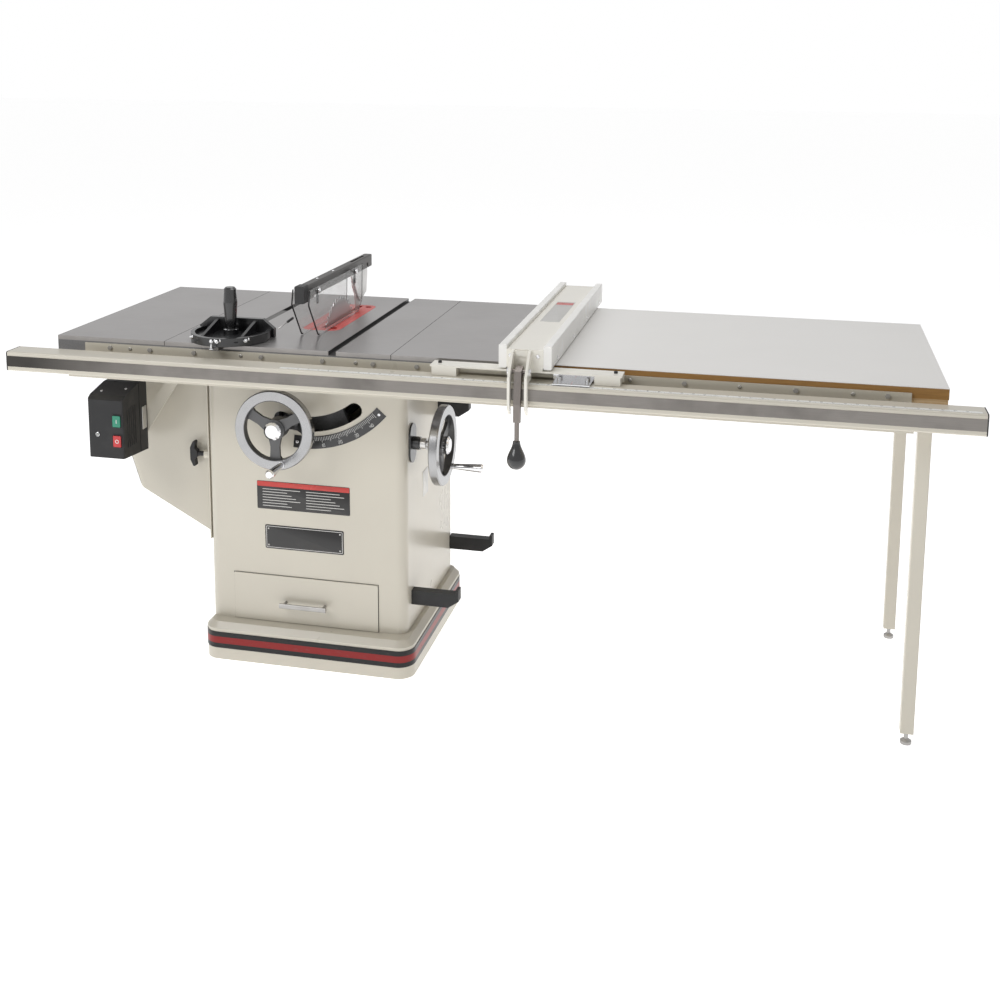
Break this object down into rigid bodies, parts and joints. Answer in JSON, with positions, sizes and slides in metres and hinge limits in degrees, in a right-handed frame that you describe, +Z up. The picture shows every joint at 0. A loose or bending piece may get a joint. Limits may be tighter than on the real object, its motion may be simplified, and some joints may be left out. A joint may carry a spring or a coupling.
{
  "type": "table saw",
  "caption": "Left-tilting cabinet table saw with cast iron table, blade guard, miter gauge, T-square rip fence on a long rail and a white extension table on two legs",
  "frame": {"origin": "centre of the whole saw's footprint, on the floor", "axes": "+X along the fence rail to the operator's right, -Y towards the operator, +Z up"},
  "size_m": [2.342, 0.889, 1.011],
  "materials": {
    "cream_paint": "smooth semi-gloss cream enamel",
    "plinth_paint": "semi-gloss cream enamel",
    "band_paint": "black and dark red stripes, gloss",
    "black_paint": "satin black enamel",
    "ground_iron": "ground and polished cast iron",
    "rough_iron": "as-cast grey iron",
    "red_insert": "red throat insert",
    "laminate": "white laminate on a brown board",
    "frame_wood": "tan wood frame",
    "steel": "bare steel, fine brushed",
    "dark_steel": "dark oiled steel",
    "blade_steel": "polished blade steel",
    "chrome": "polished chrome",
    "wheel_paint": "black casting with a polished rim",
    "scale_black": "black scale with white marks",
    "black_plastic": "moulded black plastic",
    "gloss_black": "glossy black plastic",
    "green_key": "green push button",
    "red_key": "red push button",
    "clear_shield": "clear polycarbonate",
    "guard_steel": "grey steel guard arm",
    "white_plastic": "white slippery plastic fence face",
    "belt_rubber": "black V-belt",
    "motor_paint": "dark grey motor enamel"
  },
  "bodies": {
    "stand": {"plinth": "plinth_paint", "plinth_bands": "band_paint", "cabinet": "cream_paint", "drawer_bay": "cream_paint", "dust_port": "black_plastic", "side_shaft_plate": "black_paint", "tilt_scale": "scale_black", "storage_hooks": "black_plastic", "main_table": "ground_iron", "left_wing": "ground_iron", "right_wing": "ground_iron", "throat_insert": "red_insert", "extension_board": "laminate", "board_frame": "frame_wood", "table_legs": "cream_paint", "rail_angles": "cream_paint", "front_rail": "cream_paint", "rail_wear_strip": "dark_steel", "rail_end_caps": "black_plastic", "table_bolts": "dark_steel", "switch_box": "black_plastic", "switch_bracket": "cream_paint", "trunnion_brackets": "rough_iron"},
    "drawer_slide": {"drawer": "cream_paint", "drawer_pull": "steel"},
    "cover": {"motor_cover": "cream_paint"},
    "cover_latch": {"cover_knob": "black_plastic"},
    "front_foot": {"front_leg_foot": "steel"},
    "rear_foot": {"rear_leg_foot": "steel"},
    "start_key": {"start_button": "green_key"},
    "stop_key": {"stop_button": "red_key"},
    "side_handwheel": {"side_wheel": "wheel_paint", "tilt_shaft": "dark_steel"},
    "side_handle": {"side_crank": "chrome"},
    "side_lock": {"side_lock_knob": "chrome"},
    "cradle": {"trunnion_cradle": "rough_iron", "splitter": "steel"},
    "front_handwheel": {"front_wheel": "wheel_paint", "raise_shaft": "steel"},
    "front_handle": {"front_crank": "chrome"},
    "front_lock": {"front_lock_knob": "chrome"},
    "arbor_swing": {"arbor_bracket": "rough_iron", "motor": "motor_paint", "drive_belts": "belt_rubber"},
    "arbor_spindle": {"arbor": "dark_steel", "arbor_nut": "steel", "blade": "blade_steel"},
    "motor_rotor": {"motor_pulley": "dark_steel"},
    "guard": {"guard_arm": "guard_steel"},
    "left_shield": {"left_guard_shield": "clear_shield"},
    "right_shield": {"right_guard_shield": "clear_shield"},
    "pawls": {"kickback_pawls": "dark_steel"},
    "fence": {"fence_body": "cream_paint", "fence_faces": "white_plastic", "fence_cursor": "chrome"},
    "lock_lever": {"fence_lever": "dark_steel", "lever_knob": "gloss_black"},
    "miter_slide": {"miter_bar": "steel"},
    "miter_swivel": {"miter_head": "black_paint"},
    "miter_handle": {"miter_grip": "gloss_black"}
  },
  "joints": [
    {"name": "tilt", "type": "hinge", "parent": "stand", "child": "cradle", "pos_m": [-0.453, 0.0275, 0.87], "axis": [0, -1, 0], "range_deg": [0, 45]},
    {"name": "side_wheel_turn", "type": "hinge", "parent": "stand", "child": "side_handwheel", "pos_m": [-0.091, -0.1525, 0.6], "axis": [-1, 0, 0], "range_deg": [0, 7650]},
    {"name": "side_handle_spin", "type": "hinge", "parent": "side_handwheel", "child": "side_handle", "pos_m": [-0.091, -0.10203, 0.52792], "axis": [1, 0, 0], "continuous": true},
    {"name": "side_lock_turn", "type": "hinge", "parent": "side_handwheel", "child": "side_lock", "pos_m": [-0.091, -0.1525, 0.6], "axis": [1, 0, 0], "range_deg": [-270, 0]},
    {"name": "raise", "type": "hinge", "parent": "cradle", "child": "arbor_swing", "pos_m": [-0.521, 0.1845, 0.76], "axis": [-1, 0, 0], "range_deg": [-27.7, 9]},
    {"name": "front_wheel_turn", "type": "hinge", "parent": "cradle", "child": "front_handwheel", "pos_m": [-0.503, -0.3155, 0.652], "axis": [0, 1, 0], "range_deg": [-1740, 565]},
    {"name": "front_handle_spin", "type": "hinge", "parent": "front_handwheel", "child": "front_handle", "pos_m": [-0.48022, -0.3155, 0.567], "axis": [0, 1, 0], "continuous": true},
    {"name": "front_lock_turn", "type": "hinge", "parent": "front_handwheel", "child": "front_lock", "pos_m": [-0.503, -0.3155, 0.652], "axis": [0, -1, 0], "range_deg": [-270, 0]},
    {"name": "arbor_spin", "type": "hinge", "parent": "arbor_swing", "child": "arbor_spindle", "pos_m": [-0.481, 0.0595, 0.803], "axis": [1, 0, 0], "continuous": true},
    {"name": "motor_spin", "type": "hinge", "parent": "arbor_swing", "child": "motor_rotor", "pos_m": [-0.581, 0.0595, 0.612], "axis": [1, 0, 0], "continuous": true},
    {"name": "guard_lift", "type": "hinge", "parent": "cradle", "child": "guard", "pos_m": [-0.453, 0.2745, 0.984], "axis": [-1, 0, 0], "range_deg": [0, 35]},
    {"name": "left_shield_lift", "type": "slide", "parent": "guard", "child": "left_shield", "axis": [0, 0, 1], "range_m": [0, 0.0302]},
    {"name": "right_shield_lift", "type": "slide", "parent": "guard", "child": "right_shield", "axis": [0, 0, 1], "range_m": [0, 0.0302]},
    {"name": "pawl_swing", "type": "hinge", "parent": "cradle", "child": "pawls", "pos_m": [-0.453, 0.1845, 0.95], "axis": [1, 0, 0], "range_deg": [0, 30]},
    {"name": "fence_slide", "type": "slide", "parent": "stand", "child": "fence", "axis": [1, 0, 0], "range_m": [-0.5, 0.72]},
    {"name": "lever_swing", "type": "hinge", "parent": "fence", "child": "lock_lever", "pos_m": [0.148, -0.4035, 0.872], "axis": [-1, 0, 0], "range_deg": [0, 65]},
    {"name": "miter_slide_along", "type": "slide", "parent": "stand", "child": "miter_slide", "axis": [0, -1, 0], "range_m": [-0.42, 0.08]},
    {"name": "miter_turn", "type": "hinge", "parent": "miter_slide", "child": "miter_swivel", "pos_m": [-0.634, -0.2455, 0.88], "axis": [0, 0, 1], "range_deg": [-60, 60]},
    {"name": "miter_handle_turn", "type": "hinge", "parent": "miter_swivel", "child": "miter_handle", "pos_m": [-0.634, -0.2455, 0.9], "axis": [0, 0, 1], "range_deg": [0, 180]},
    {"name": "drawer_pull_out", "type": "slide", "parent": "stand", "child": "drawer_slide", "axis": [0, -1, 0], "range_m": [0, 0.28]},
    {"name": "cover_open", "type": "hinge", "parent": "stand", "child": "cover", "pos_m": [-0.7335, 0.2515, 0.54], "axis": [0, 0, -1], "range_deg": [0, 95]},
    {"name": "cover_latch_pull", "type": "slide", "parent": "cover", "child": "cover_latch", "axis": [-1, 0, 0], "range_m": [0, 0.012], "stiffness_N_per_m": 800},
    {"name": "start_press", "type": "slide", "parent": "stand", "child": "start_key", "axis": [0, 1, 0], "range_m": [0, 0.004], "stiffness_N_per_m": 400},
    {"name": "stop_press", "type": "slide", "parent": "stand", "child": "stop_key", "axis": [0, 1, 0], "range_m": [0, 0.004], "stiffness_N_per_m": 400},
    {"name": "front_foot_level", "type": "slide", "parent": "stand", "child": "front_foot", "axis": [0, 0, 1], "range_m": [0, 0.012]},
    {"name": "rear_foot_level", "type": "slide", "parent": "stand", "child": "rear_foot", "axis": [0, 0, 1], "range_m": [0, 0.012]}
  ],
  "couplings": [
    {"joint": "tilt", "follows": "side_wheel_turn", "ratio": 0.0058823},
    {"joint": "left_shield_lift", "follows": "side_wheel_turn", "m_per_rad": 0.00022469},
    {"joint": "raise", "follows": "front_wheel_turn", "ratio": 0.015873},
    {"joint": "motor_spin", "follows": "arbor_spin", "ratio": 0.87097}
  ]
}
